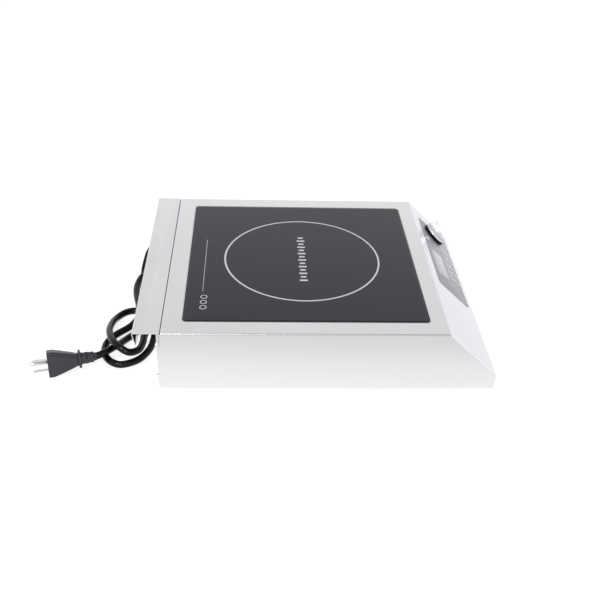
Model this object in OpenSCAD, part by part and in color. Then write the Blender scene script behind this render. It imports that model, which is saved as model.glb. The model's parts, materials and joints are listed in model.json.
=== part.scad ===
// Countertop induction cooktop: steel housing, glass top, sloping control face, open rear overhang.
// +Z is up, -Y is the front, and the origin is on the table under the middle of the housing.

/* [Housing] */
// Width of the housing across the front
housing_w = 327; // [310:1:360]
// Depth of the housing from the front lip to the rear seam
housing_d = 385.5; // [370:0.5:420]
// Height of the housing without its feet
housing_h = 77; // [74:1:90]
// Height of the vertical lip below the control face
lip_h = 20; // [16:1:26]
// Horizontal run of the sloping control face
slope_run = 61; // [55:1:66]
// Thickness of the sheet steel
sheet = 1; // [0.8:0.1:1.2]
// Outer radius of the long bends
bend_r = 2.5; // [1.5:0.5:3]
// Depth of the overhanging cap behind the seam
cap_d = 31.5; // [28:0.5:40]
// Depth of the shallow rear pan
pan_d = 4.5; // [4:0.5:6]

/* [Feet] */
// Height of the rubber feet
foot_h = 20; // [20:1:25]
// Largest radius of a foot
foot_r = 14; // [12:0.5:16]
// Distance of a foot's centre from the side of the housing
foot_inset = 48; // [40:1:60]

/* [Glass] */
// Width of the glass
glass_w = 281; // [270:1:290]
// Depth of the glass
glass_d = 283.5; // [275:0.5:290]
// Thickness of the glass
glass_t = 4; // [4:0.5:5]
// Corner radius of the glass
glass_r = 5; // [3:0.5:8]
// Distance of the middle of the glass behind the front lip
glass_y = 221.2; // [218:0.1:224]
// Height of the glass above the steel top
glass_proud = 0.5; // [0.2:0.1:1]

/* [Controls] */
// Width of the printed overlay
overlay_w = 172; // [160:1:176]
// Height of the overlay along the slope
overlay_l = 59; // [56:1:62]
// Thickness of the overlay film
overlay_t = 0.4; // [0.3:0.1:0.6]
// Distance of the overlay's right edge from the middle
overlay_right = 137; // [130:1:140]
// Distance of the overlay's lower edge up the slope
overlay_low = 8.5; // [7:0.5:10]
// Width of the display window
window_w = 57; // [50:1:60]
// Height of the display window
window_l = 21; // [18:1:24]
// Distance of the knob from the middle
knob_x = 117; // [114:1:118]
// Radius of the knob's skirt
knob_r = 17.5; // [16:0.5:18]
// Height of the knob above the overlay
knob_h = 19; // [17:1:22]
// Travel of the knob when it is pressed
press = 0.7; // [0.5:0.1:0.8]

/* [Coil] */
// Number of turns of the winding
coil_turns = 15; // [12:1:15]
// Diameter of the stranded wire
wire_d = 3.8; // [3:0.1:3.9]
// Number of ferrite bars
ferrites = 8; // [6:1:8]

/* [Fan] */
// Side of the square fan frame
fan_w = 92; // [92:1:92]
// Height of the fan
fan_h = 25; // [25:1:28]
// Number of fan blades
blades = 7; // [5:1:9]

/* [Mains lead] */
// Diameter of the cord
cord_d = 9; // [8:0.5:9]
// Sides of the cord's tube
cord_sides = 10; // [8:1:12]

/* [Hidden] */
$fn = 48;
tiny = 0.01;

// Levels and outlines of the housing
depth = housing_d + cap_d;
front = -depth / 2;
seam = front + housing_d;
rear = depth / 2;
base_z = foot_h;
top_z = foot_h + housing_h;
half_w = housing_w / 2;
slope_rise = housing_h - lip_h;
slope_a = atan2(slope_rise, slope_run);
slope_l = norm([slope_run, slope_rise]);
floor_z = base_z + 2 * sheet;
pan_face = seam + pan_d;
glass_mid = front + glass_y;
glass_top_z = top_z + glass_proud;
glass_low_z = glass_top_z - glass_t;
seal_w = 1.2;

// Control face
overlay_mid = overlay_right - overlay_w / 2;
overlay_centre = overlay_low + overlay_l / 2;
window_x = 29;
window_s = 49.5;
knob_s = 40;
led_s = 22;
led_xs = [18, 36, 54, 72, 90];
shaft_r = 3;
bush_r = 3.5;
knob_gap = 1;

// Coil stack below the glass
mica_t = 0.4;
coil_r_in = 26;
coil_step = 4.3;
coil_z = glass_low_z - mica_t - 0.3 - wire_d / 2;
carrier_top = coil_z - wire_d / 2;
carrier_t = 4;
ferrite_t = 5;
bracket_z = carrier_top - carrier_t - ferrite_t - sheet;
coil_r_out = coil_r_in + (coil_turns - 1) * coil_step;

// Inside the case
fan_x = -98;
fan_y = -70;
fan_z = floor_z + 1;
board_z = floor_z + 8;
board_t = 1.6;
board_top = board_z + board_t;
sink_x = -98;
sink_y = 40;

// Feet and screws
foot_x = half_w - foot_inset;
foot_front = front + 55;
foot_rear = front + 340;
screw_inset = 7;

// Mains lead
gland_x = 140;
gland_z = 34;
gland_l = 20;
cord_r = cord_d / 2;
gland_end = pan_face + gland_l;
// Points along the lead, from the gland to the plug: outwards, round the loops behind the case
cord_route = [
    [140, gland_end - 1, 34], [139, 211, 33.5], [131, 221, 30.5], [113, 226, 20], [98, 228, 10],
    [82, 228.5, 4.7], [58, 221, 4.5], [34, 209, 4.5], [8, 201.5, 4.5], [-20, 200, 4.5], [-54, 200.5, 4.5],
    [-74, 205, 4.5], [-91, 215.5, 4.5], [-100, 233, 4.5], [-95.5, 246, 4.5], [-83, 255.5, 4.5],
    [-70, 258.5, 4.5], [-54, 257, 4.5], [-38, 248, 4.5], [-20, 231.5, 5.5], [-5, 223.5, 10],
    [14, 225, 14.5], [38, 230.5, 14.5], [60, 232.5, 14.8], [80, 229, 16], [95, 220.5, 16.5],
    [111, 213.5, 11], [127, 220, 6], [142, 221, 4.5], [154.5, 210, 4.5], [153.5, 195, 4.5],
    [138, 186.8, 4.5], [100, 187.2, 4.5], [50, 188, 4.5], [14, 189.5, 5.5], [-8, 193, 10.8],
    [-29, 201, 14.3], [-50, 210, 14.2], [-68, 211, 14], [-84, 214.5, 15], [-93, 225, 18],
    [-87, 237.5, 22], [-72, 247.5, 21.5], [-48, 254.5, 17], [-24, 255.5, 11], [-4, 252.5, 6],
    [11.5, 242.5, 4.6], [15.5, 229, 4.5], [5, 215, 4.5], [-14, 213.5, 4.5], [-33, 223, 4.5],
    [-50, 234.5, 5.5], [-66, 241, 9.5], [-79, 247.5, 13.2], [-87.5, 253.8, 14.3], [-91.4, 259.6, 13.2],
    [-93.4, 265, 12]];
cord_ring_count = 80;

// Plug: it lies on one narrow side, its prongs away from the lead
plug_at = [-93.6, 265.8, 11.9];
plug_turn = 105;
plug_pitch = 0;
plug_roll = 22;
relief_l = 17;
grip_l = 39;

module on_slope(x, s, off) {
    translate([x, front + s * cos(slope_a), base_z + lip_h + s * sin(slope_a)])
        rotate([slope_a, 0, 0]) translate([0, 0, off]) children();
}

module rounded_square(w, l, r) {
    square([w - 2 * r, l], center = true);
    square([w, l - 2 * r], center = true);
    for (i = [-1, 1], j = [-1, 1])
        translate([i * (w / 2 - r), j * (l / 2 - r)]) circle(r);
}

module rounded_plate(w, l, r, t) {
    linear_extrude(t) rounded_square(w, l, r);
}

module frame_plate(w, l, r, rim, t) {
    linear_extrude(t) difference() {
        rounded_square(w, l, r);
        rounded_square(w - 2 * rim, l - 2 * rim, max(r - rim, 0.5));
    }
}

module slot(length, width, t) {
    linear_extrude(t) {
        square([length - width, width], center = true);
        for (i = [-1, 1]) translate([i * (length - width) / 2, 0]) circle(width / 2, $fn = 16);
    }
}

module screw(head_r, head_h, shank_r, shank_l) {
    difference() {
        union() {
            cylinder(r = head_r, h = head_h);
            translate([0, 0, -shank_l]) cylinder(r = shank_r, h = shank_l + tiny);
        }
        for (a = [0, 90])
            rotate(a) translate([0, 0, head_h - 0.8]) translate([-head_r * 0.7, -0.45, 0])
                cube([head_r * 1.4, 0.9, 1]);
    }
}

module at_corners(w, l) {
    for (i = [-1, 1], j = [-1, 1]) translate([i * w / 2, j * l / 2]) children();
}

// ---------------------------------------------------------------- casing

module side_outline(inset, low, back) {
    polygon([
        [front + inset, low], [front + inset, base_z + lip_h - inset * tan(45 - slope_a / 2)],
        [front + slope_run + inset * tan(slope_a / 2), top_z - inset], [back, top_z - inset], [back, low]]);
}

// Folded box between the front lip and the rear, with rounded long edges
module folded_box(inset, low, back) {
    r = bend_r - inset;
    w = half_w - inset;
    z = top_z - inset;
    intersection() {
        rotate([90, 0, 90]) linear_extrude(housing_w, center = true) side_outline(inset, low, back);
        translate([0, depth, 0]) rotate([90, 0, 0]) linear_extrude(2 * depth) {
            polygon([[-w, low - 1], [-w, z - r], [-w + r, z], [w - r, z], [w, z - r], [w, low - 1]]);
            for (i = [-1, 1]) translate([i * (w - r), z - r]) circle(r);
        }
    }
}

module top_housing() {
    side_flange = 15;
    rear_flange = 11;
    color([0.80, 0.80, 0.81]) difference() {
        folded_box(0, base_z, seam);
        folded_box(sheet, base_z + sheet, seam - sheet);
        translate([-half_w + side_flange, front + side_flange, base_z - 1])
            cube([housing_w - 2 * side_flange, housing_d, 2 * sheet + 1]);
        translate([-half_w + rear_flange, seam - 2 * sheet, base_z - 1])
            cube([housing_w - 2 * rear_flange, 10, housing_h - rear_flange]);
        translate([0, glass_mid, top_z - 5])
            rounded_plate(glass_w + 2 * seal_w, glass_d + 2 * seal_w, glass_r + seal_w, 10);
        on_slope(window_x, window_s, -5) rounded_plate(window_w - 8, window_l - 6, 1.5, 10);
        on_slope(knob_x, knob_s, -5) cylinder(r = bush_r + 0.1, h = 10);
        for (x = led_xs) on_slope(x, led_s, -5) cylinder(r = 1.6, h = 10);
        base_screw_places() translate([0, 0, base_z - 1]) cylinder(r = 1.7, h = 4);
        rear_screw_places() rotate([90, 0, 0]) cylinder(r = 1.5, h = 12, center = true);
    }
}

module base_screw_places() {
    for (i = [-1, 1], y = [front + 20, front + 130, front + 250, seam - 20])
        translate([i * (half_w - screw_inset - 2), y, 0]) children();
}

module rear_screw_places() {
    for (i = [-1, 1], z = [base_z + 12, top_z - 20])
        translate([i * (half_w - screw_inset), seam + 1, z]) children();
}

module rear_panel() {
    w = housing_w - 2;
    h = housing_h - sheet - 0.1;
    color([0.82, 0.82, 0.83]) difference() {
        translate([-w / 2, seam + 0.05, base_z]) cube([w, pan_d - 0.05, h]);
        translate([-w / 2 + sheet, seam - 1, base_z + sheet]) cube([w - 2 * sheet, pan_d - sheet + 1, h]);
        translate([-w, seam - 1, top_z - 18.4]) cube([2 * w, 3, 20]);
        for (column = [0:15], row = [0:2])
            translate([-140 + column * 14, pan_face - 5, base_z + 20 + row * 19])
                rotate([-90, 90, 0]) slot(15, 4, 8);
        translate([gland_x, pan_face - 5, gland_z]) rotate([-90, 0, 0]) cylinder(r = 7.5, h = 10);
        rear_screw_places() rotate([90, 0, 0]) cylinder(r = 1.7, h = 30, center = true);
        translate([104, pan_face - 5, base_z + 12]) rotate([-90, 0, 0]) cylinder(r = 2.1, h = 10);
    }
}

module rear_cap() {
    lip = 16.5;
    lean = 3.3;
    fold = 5.6;
    start = seam + 0.6;
    color([0.86, 0.86, 0.87]) rotate([90, 0, 90]) linear_extrude(housing_w, center = true) polygon([
        [start, top_z - 18], [start, top_z - 0.4], [start + 0.4, top_z], [rear - 0.5, top_z],
        [rear, top_z - 0.5], [rear - lean, top_z - lip], [rear - lean - 0.5, top_z - lip - 0.2],
        [rear - lean - 1, top_z - lip], [rear - fold - 0.9, top_z - 2.6], [rear - fold, top_z - 2.6],
        [rear - lean - 0.5, top_z - lip + 2.4], [rear - 1.2, top_z - 1], [start + 1, top_z - 1],
        [start + 1, top_z - 18]]);
}

module vent_rows() {
    for (row = [-5:5]) {
        span = 2 * sqrt(44 * 44 - row * row * 60);
        for (i = [-1, 1])
            translate([fan_x + i * (span / 4 + 1), fan_y + row * 7.7, base_z]) slot(span / 2 - 3, 3.4, 5);
    }
}

module base_plate() {
    w = housing_w - 2 * sheet - 0.4;
    d = housing_d - sheet - 1.4;
    color([0.74, 0.74, 0.75]) difference() {
        translate([-w / 2, front + sheet + 0.2, base_z + sheet]) cube([w, d, sheet]);
        vent_rows();
        base_screw_places() translate([0, 0, base_z]) cylinder(r = 1.5, h = 5);
        for (x = [-foot_x, foot_x], y = [foot_front, foot_rear])
            translate([x, y, base_z]) cylinder(r = 2.6, h = 5);
    }
}

module foot(x, y) {
    color([0.12, 0.12, 0.12]) translate([x, y, 0]) difference() {
        cylinder(r1 = foot_r - 2, r2 = foot_r, h = base_z + sheet);
        translate([0, 0, -1]) cylinder(r = 5, h = 10);
        translate([0, 0, 5]) cylinder(r = 2.4, h = 40);
    }
}

module foot_front_left() { foot(-foot_x, foot_front); }
module foot_front_right() { foot(foot_x, foot_front); }
module foot_rear_left() { foot(-foot_x, foot_rear); }
module foot_rear_right() { foot(foot_x, foot_rear); }

module foot_screws() {
    color([0.7, 0.7, 0.72]) for (x = [-foot_x, foot_x], y = [foot_front, foot_rear])
        translate([x, y, 9]) mirror([0, 0, 1]) screw(4, 2.4, 2, base_z - 5);
}

module base_screws() {
    color([0.7, 0.7, 0.72]) base_screw_places()
        translate([0, 0, base_z]) mirror([0, 0, 1]) screw(3, 1.8, 1.45, 6);
}

module rear_screws() {
    color([0.7, 0.7, 0.72]) rear_screw_places()
        translate([0, pan_d - 1, 0]) rotate([-90, 0, 0]) screw(3, 1.8, 1.4, 8);
}

// ---------------------------------------------------------------- glass and coil

module glass_top() {
    color([0.20, 0.19, 0.21]) translate([0, glass_mid, glass_low_z])
        rounded_plate(glass_w, glass_d, glass_r, glass_t);
}

module glass_seal() {
    color([0.16, 0.16, 0.17]) translate([0, glass_mid, glass_low_z]) difference() {
        rounded_plate(glass_w + 2 * seal_w - 0.1, glass_d + 2 * seal_w - 0.1, glass_r + seal_w, glass_t - 0.4);
        translate([0, 0, -1]) rounded_plate(glass_w, glass_d, glass_r, glass_t + 2);
    }
}

module glass_frame() {
    color([0.70, 0.70, 0.72]) translate([0, glass_mid, glass_low_z - sheet]) {
        frame_plate(glass_w + 20, glass_d + 20, 8, 20, sheet);
        frame_plate(glass_w + 20, glass_d + 20, 8, 2 * sheet, top_z - glass_low_z);
    }
}

module mica_sheet() {
    color([0.80, 0.75, 0.62]) translate([0, glass_mid, glass_low_z - mica_t - 0.1]) difference() {
        cylinder(r = coil_r_out + 4, h = mica_t);
        translate([0, 0, -1]) cylinder(r = 12, h = 5);
    }
}

module induction_coil() {
    color([0.72, 0.45, 0.22]) translate([0, glass_mid, coil_z])
        for (i = [0:coil_turns - 1])
            rotate_extrude() translate([coil_r_in + i * coil_step, 0]) circle(wire_d / 2, $fn = 24);
}

module coil_carrier() {
    rim = coil_r_out + 4;
    color([0.13, 0.13, 0.13]) translate([0, glass_mid, carrier_top - carrier_t]) difference() {
        union() {
            difference() {
                cylinder(r = rim, h = carrier_t);
                translate([0, 0, -1]) cylinder(r = rim - 6, h = 10);
            }
            cylinder(r = coil_r_in + 2, h = carrier_t);
            for (i = [0:7]) rotate(i * 45) translate([0, -7, 0.2]) cube([rim - 3, 14, carrier_t - 0.4]);
        }
        translate([0, 0, -1]) cylinder(r = 10, h = 10);
    }
}

module ferrite_bars() {
    bar_l = coil_r_out - coil_r_in - 4;
    color([0.25, 0.25, 0.27]) translate([0, glass_mid, carrier_top - carrier_t - ferrite_t])
        for (i = [0:ferrites - 1])
            rotate(i * 360 / ferrites) translate([coil_r_in + 6, -5, 0]) cube([bar_l, 10, ferrite_t]);
}

module coil_bracket() {
    span = glass_d + 16;
    color([0.75, 0.76, 0.78]) for (i = [-1, 1]) translate([i * 45, glass_mid, bracket_z]) difference() {
        union() {
            translate([-8, -span / 2, 0]) cube([16, span, sheet]);
            for (j = [-1, 1]) translate([-8, j * (span / 2 - sheet / 2) - sheet / 2, 0])
                cube([16, sheet, glass_low_z - sheet - bracket_z]);
        }
        for (j = [-1, 1]) translate([0, j * 60, -1]) cylinder(r = 2, h = 4);
    }
}

module carrier_studs() {
    color([0.80, 0.80, 0.82]) for (i = [-1, 1], j = [-1, 1])
        translate([i * 45, glass_mid + j * 60, bracket_z - 2]) {
            cylinder(r = 3.5, h = 2, $fn = 6);
            cylinder(r = 1.95, h = carrier_top - carrier_t - bracket_z + 2);
        }
}

module thermistor_holder() {
    color([0.85, 0.85, 0.82]) translate([0, glass_mid, carrier_top - carrier_t]) difference() {
        cylinder(r = 9.9, h = glass_low_z - 0.3 - carrier_top + carrier_t);
        translate([0, 0, 4]) cylinder(r = 4, h = 20);
    }
}

module thermistor() {
    color([0.2, 0.2, 0.22]) translate([0, glass_mid, carrier_top - carrier_t + 4])
        cylinder(r = 3.9, h = glass_low_z - 0.1 - carrier_top + carrier_t - 4);
}

// ---------------------------------------------------------------- electronics

module power_board() {
    color([0.10, 0.35, 0.18]) translate([-35, -105, board_z]) difference() {
        cube([175, 245, board_t]);
        for (x = [8, 167], y = [8, 237]) translate([x, y, -1]) cylinder(r = 1.6, h = 5);
    }
}

module board_standoffs() {
    color([0.88, 0.88, 0.86]) for (x = [-27, 132], y = [-97, 132])
        translate([x, y, floor_z]) difference() {
            cylinder(r = 4, h = board_z - floor_z);
            translate([0, 0, 1]) cylinder(r = 1.5, h = 20);
        }
}

module heat_sink() {
    w = 84;
    l = 120;
    h = 34;
    fin = 1.8;
    color([0.82, 0.83, 0.84]) translate([sink_x - w / 2, sink_y - l / 2, floor_z + 2]) {
        cube([w, l, 5]);
        for (i = [0:11]) translate([i * (w - fin) / 11, 0, 4.99]) cube([fin, l, h - 5]);
        translate([w - tiny, 0, 0]) cube([4, l, h]);
    }
}

module power_transistors() {
    color([0.10, 0.10, 0.11]) for (y = [sink_y - 30, sink_y])
        translate([sink_x + 46.1, y, board_top + 3]) {
            cube([4.8, 16, 20]);
            for (k = [2, 7, 12]) translate([2, k, -4.5]) cube([0.8, 1.6, 4.6]);
        }
}

module bridge_rectifier() {
    color([0.10, 0.10, 0.11]) translate([sink_x + 46.1, sink_y + 26, board_top + 3]) {
        cube([4.8, 26, 18]);
        for (k = [2, 9, 16, 23]) translate([2, k, -4.5]) cube([0.8, 1.4, 4.6]);
    }
}

module resonance_capacitors() {
    color([0.85, 0.72, 0.20]) for (y = [-80, -40])
        translate([10, y, board_top]) rounded_plate_box(32, 22, 28, 2);
}

module rounded_plate_box(w, l, h, r) {
    translate([w / 2, l / 2, 0]) rounded_plate(w, l, r, h);
}

module smoothing_capacitor() {
    color([0.75, 0.20, 0.15]) translate([60, -84, board_top]) rounded_plate_box(40, 26, 30, 2);
}

module filter_choke() {
    color([0.70, 0.42, 0.20]) translate([85, 0, board_top + 2]) {
        rotate_extrude() translate([16, 9]) circle(8, $fn = 32);
        translate([0, 0, -2]) cylinder(r = 7, h = 4);
        translate([0, 0, -2]) cylinder(r = 17, h = 3.4);
    }
}

module aux_transformer() {
    color([0.85, 0.75, 0.35]) translate([30, 30, board_top]) {
        cube([28, 24, 6]);
        translate([4, 2, 5.9]) cube([20, 20, 14]);
        translate([2, 6, 19.8]) cube([24, 12, 5]);
    }
}

module mains_fuse() {
    color([0.9, 0.9, 0.88]) translate([100, 105, board_top + 4]) {
        rotate([0, 90, 0]) cylinder(r = 2.6, h = 20);
        for (x = [0, 16]) translate([x, -3.2, -4]) cube([4, 6.4, 5]);
    }
}

module buzzer() {
    color([0.08, 0.08, 0.08]) translate([0, 112, board_top]) difference() {
        cylinder(r = 6, h = 8);
        translate([0, 0, 7]) cylinder(r = 1, h = 3);
    }
}

module earth_stud() {
    color([0.80, 0.70, 0.35]) translate([104, pan_face, base_z + 12]) rotate([90, 0, 0]) {
        translate([0, 0, -2.5]) cylinder(r = 4, h = 2.4, $fn = 6);
        translate([0, 0, -0.2]) cylinder(r = 2, h = 14);
        translate([0, 0, 4.2]) cylinder(r = 4, h = 3, $fn = 6);
    }
}

// ---------------------------------------------------------------- fan

module fan_frame() {
    color([0.10, 0.10, 0.11]) translate([fan_x, fan_y, fan_z]) difference() {
        union() {
            difference() {
                rounded_plate(fan_w, fan_w, 4, fan_h);
                translate([0, 0, -1]) cylinder(r = 44, h = fan_h + 2);
            }
            cylinder(r = 16, h = 4);
            cylinder(r = 4, h = 12);
            for (i = [0:3]) rotate(i * 90 + 45) translate([14, -1.5, 0]) cube([31, 3, 3]);
        }
        translate([0, 0, 2]) cylinder(r = 1.55, h = 20);
        at_corners(82.5, 82.5) translate([0, 0, -1]) cylinder(r = 2.2, h = 40);
    }
}

module fan_rotor() {
    hub_r = 18;
    color([0.16, 0.16, 0.17]) translate([fan_x, fan_y, fan_z]) difference() {
        union() {
            translate([0, 0, 4.6]) cylinder(r = hub_r, h = fan_h - 5.6);
            intersection() {
                translate([0, 0, 5]) cylinder(r = 42.5, h = fan_h - 7);
                for (i = [0:blades - 1]) rotate(i * 360 / blades) translate([hub_r - 2, 0, fan_h / 2 + 1])
                    rotate([38, 0, 0]) translate([0, -14, -0.9]) cube([30, 28, 1.8]);
            }
        }
        difference() {
            cylinder(r = 15.5, h = fan_h - 3);
            cylinder(r = 1.5, h = 40);
        }
    }
}

module fan_screws() {
    color([0.7, 0.7, 0.72]) translate([fan_x, fan_y, fan_z + fan_h])
        at_corners(82.5, 82.5) screw(3.4, 2, 2.1, fan_h + 0.8);
}

module air_duct() {
    y0 = fan_y + fan_w / 2 + 1;
    y1 = sink_y + 60;
    w = 92;
    color([0.14, 0.14, 0.15]) translate([sink_x - w / 2 - 2, y0, floor_z + 37]) {
        cube([w + 4, y1 - y0, 1.5]);
        translate([0, 0, -36]) cube([1.5, y1 - y0, 37]);
    }
}

module mains_leads() {
    color([0.15, 0.15, 0.16]) for (k = [0, 1, 2]) {
        x = gland_x - 4 + k * 4;
        y_end = 112;
        translate([x, y_end, gland_z - 1]) rotate([-90, 0, 0]) cylinder(r = 1.4, h = pan_face - 8 - y_end);
    }
}

// ---------------------------------------------------------------- controls

module control_overlay() {
    color([0.62, 0.61, 0.66]) difference() {
        on_slope(overlay_mid, overlay_centre, 0) rounded_plate(overlay_w, overlay_l, 5, overlay_t);
        on_slope(window_x, window_s, -1) rounded_plate(window_w, window_l, 1.5, 3);
        on_slope(knob_x, knob_s, -1) cylinder(r = bush_r + 0.2, h = 3);
    }
}

module display_window() {
    color([0.72, 0.71, 0.76], 0.7) on_slope(window_x, window_s, 0)
        rounded_plate(window_w - 0.04, window_l - 0.04, 1.5, overlay_t);
}

module display_module() {
    color([0.10, 0.05, 0.05]) on_slope(window_x, window_s, -8.5)
        rounded_plate(window_w - 10, window_l - 8, 1, 8.2);
}

module indicator_leds() {
    color([0.9, 0.3, 0.2]) for (x = led_xs) on_slope(x, led_s, -8.6) {
        cylinder(r = 1.5, h = 8.4);
        cylinder(r = 1.9, h = 6.4);
    }
}

module control_board() {
    color([0.10, 0.35, 0.18]) difference() {
        on_slope(overlay_mid + 4, overlay_centre, -10.2) rounded_plate(overlay_w - 12, overlay_l - 8, 2, 1.6);
        on_slope(knob_x, knob_s, -14) cube([14, 14, 20], center = true);
    }
}

module control_bracket() {
    color([0.72, 0.72, 0.74]) for (i = [-1, 1]) on_slope(overlay_mid + 4 + i * 84, overlay_centre, -11.2)
        difference() {
            union() {
                translate([-5, -20, 0]) cube([10, 40, 1]);
                translate([-0.5 + i * 4.5, -20, 0]) cube([1, 40, 10.2]);
            }
            translate([i * -2, 0, -1]) cylinder(r = 1.5, h = 4);
        }
}

module encoder_body() {
    color([0.45, 0.47, 0.50]) on_slope(knob_x, knob_s, 0) difference() {
        union() {
            translate([-6.5, -6.5, -8]) cube([13, 13, 7]);
            translate([0, 0, -1 - tiny]) cylinder(r = bush_r, h = 6);
        }
        translate([0, 0, -5]) cylinder(r = shaft_r + 0.05, h = 20);
        translate([0, 0, -7.5]) cylinder(r = shaft_r + 0.05, h = 4);
    }
}

module encoder_nut() {
    color([0.78, 0.78, 0.80]) on_slope(knob_x, knob_s, overlay_t) difference() {
        cylinder(r = 6, h = 2.2, $fn = 6);
        translate([0, 0, -1]) cylinder(r = bush_r + 0.02, h = 5);
    }
}

module encoder_plunger() {
    color([0.75, 0.65, 0.35]) on_slope(knob_x, knob_s, -6.4) cylinder(r = shaft_r - 0.2, h = 2.4);
}

module encoder_shaft() {
    color([0.80, 0.80, 0.82]) on_slope(knob_x, knob_s, -3.9) cylinder(r = shaft_r, h = 17.9);
}

module knob_skirt() {
    color([0.03, 0.03, 0.03]) on_slope(knob_x, knob_s, overlay_t + knob_gap) difference() {
        rotate_extrude() {
            translate([0, 0.8]) square([knob_r, 1.2]);
            square([knob_r - 0.8, 2.8]);
            for (z = [0.8, 2]) translate([knob_r - 0.8, z]) intersection() {
                circle(0.8, $fn = 24);
                translate([0, -1]) square(2);
            }
        }
        translate([0, 0, -1]) cylinder(r = 10, h = 10);
    }
}

module knob_cap() {
    cap_r = knob_r - 1;
    z0 = overlay_t + knob_gap + 2.8;
    h = knob_h - knob_gap - 2.8;
    color([0.88, 0.88, 0.90]) on_slope(knob_x, knob_s, z0) difference() {
        rotate_extrude() {
            square([cap_r, h - 2]);
            square([cap_r - 2, h - 0.6]);
            square([cap_r - 5, h]);
            translate([0, h - 0.6 - tiny]) polygon([[cap_r - 5.1, 0], [cap_r - 2.2, 0], [cap_r - 5.1, 0.6]]);
            translate([cap_r - 2, h - 2.6]) circle(2);
        }
        translate([0, 0, -1]) cylinder(r = 10, h = 4);
        translate([0, 0, -1]) cylinder(r = shaft_r, h = h - 3.4);
    }
}

module ribbon_cable() {
    color([0.75, 0.75, 0.78]) translate([20, -140, board_z + 6]) {
        cube([22, 45, 1]);
        translate([0, 40, -3]) cube([22, 6, 8]);
    }
}

// ---------------------------------------------------------------- mains lead

module cord_gland() {
    color([0.07, 0.07, 0.07]) translate([gland_x, pan_face, gland_z]) rotate([-90, 0, 0]) difference() {
        union() {
            translate([0, 0, -3]) cylinder(r = 9, h = 2);
            translate([0, 0, -1 - tiny]) cylinder(r = 7.4, h = 1.5);
            cylinder(r = 9.5, h = 3);
            translate([0, 0, 3 - tiny]) cylinder(r1 = 8, r2 = cord_r + 0.8, h = gland_l - 3);
        }
        translate([0, 0, -5]) cylinder(r = cord_r - 1, h = gland_l + 4);
        translate([0, 0, gland_l - 1]) cylinder(r = cord_r + 0.02, h = 5);
    }
}

// Smooth curve through the route's points
function spline(a, b, c, d, t) = 0.5 * (2 * b + (c - a) * t + (2 * a - 5 * b + 4 * c - d) * t * t
    + (3 * b - a - 3 * c + d) * t * t * t);
function clamp_index(i, n) = i < 0 ? 0 : i > n ? n : i;
function route_at(p, u) = let (n = len(p) - 1, i = clamp_index(floor(u), n - 1), t = u - i)
    spline(p[clamp_index(i - 1, n)], p[i], p[i + 1], p[clamp_index(i + 2, n)], t);
function unit(v) = v / norm(v);

// Tube swept along the points, as one closed solid; each ring's frame stays level
module swept_tube(path, r, sides) {
    n = len(path) - 1;
    rings = [for (i = [0:n]) let (
        ahead = unit(path[min(i + 1, n)] - path[max(i - 1, 0)]),
        side = unit(cross(ahead, [0, 0, 1])),
        up = cross(side, ahead))
        [for (k = [0:sides - 1]) let (a = 360 * k / sides)
            path[i] + r * cos(a) * side + r * sin(a) * up]];
    points = [for (ring = rings) each ring];
    walls = [for (i = [0:n - 1], k = [0:sides - 1]) let (
        a = i * sides + k,
        b = i * sides + (k + 1) % sides)
        [a, b, b + sides, a + sides]];
    start_face = [for (k = [sides - 1:-1:0]) k];
    end_face = [for (k = [0:sides - 1]) n * sides + k];
    polyhedron(points, concat([start_face], walls, [end_face]), convexity = 10);
}

module power_cord() {
    last = len(cord_route) - 1;
    path = [for (i = [0:cord_ring_count - 1]) route_at(cord_route, i * last / (cord_ring_count - 1))];
    color([0.05, 0.05, 0.05]) swept_tube(path, cord_r, cord_sides);
}

// The plug's own frame: +Z runs from the lead to the prongs, +X across the width, -Y to the earth pin
module in_plug() {
    translate(plug_at) rotate([0, 0, plug_turn]) rotate([0, 90 + plug_pitch, 0]) rotate([0, 0, plug_roll])
        children();
}

// One ring of the plug's outline: the wide face at +Y, the narrow one on the earth pin's side at -Y
function plug_ring(w, d, r, z) = [
    for (c = [[1, 1, -22, 112], [-1, 1, 90, 112], [-1, -1, 202, 68], [1, -1, 270, 68]], k = [0:4])
        let (x = c[0] * (w * (c[1] > 0 ? 0.5 : 0.305) - r), y = c[1] * (d / 2 - r), a = c[2] + c[3] * k / 4)
            [x + r * cos(a), y + r * sin(a), z]];

module plug_body() {
    rings = [plug_ring(15, 15, 3.5, relief_l + 3), plug_ring(19, 17, 4, relief_l + 11),
        plug_ring(26, 21, 4, relief_l + 23), plug_ring(31, 23, 4, relief_l + 33),
        plug_ring(31, 23, 4, relief_l + grip_l - 1.5), plug_ring(28.6, 20.6, 3, relief_l + grip_l)];
    n = 20;
    last = len(rings) - 1;
    color([0.13, 0.13, 0.14]) in_plug() polyhedron(
        points = [for (ring = rings, p = ring) p],
        faces = concat(
            [[for (i = [0:n - 1]) i]],
            [for (k = [0:last - 1], i = [0:n - 1], h = [0, 1]) h == 0
                ? [k * n + i, (k + 1) * n + i, k * n + (i + 1) % n]
                : [k * n + (i + 1) % n, (k + 1) * n + i, (k + 1) * n + (i + 1) % n]],
            [[for (i = [n - 1:-1:0]) last * n + i]]));
}

module plug_relief() {
    color([0.13, 0.13, 0.14]) in_plug() {
        cylinder(r1 = cord_r + 1.6, r2 = cord_r + 3, h = relief_l);
        translate([0, 0, relief_l - tiny]) rounded_plate(20, 18, 4, 3 + tiny);
    }
}

module plug_blades() {
    color([0.80, 0.78, 0.70]) in_plug() for (i = [-1, 1])
        translate([i * 6.35, 4, relief_l + grip_l - 8]) difference() {
            translate([-0.75, -3.175, 0]) cube([1.5, 6.35, 25.5]);
            translate([-5, 0, 19.7]) rotate([0, 90, 0]) cylinder(r = 1.6, h = 10);
        }
}

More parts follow.
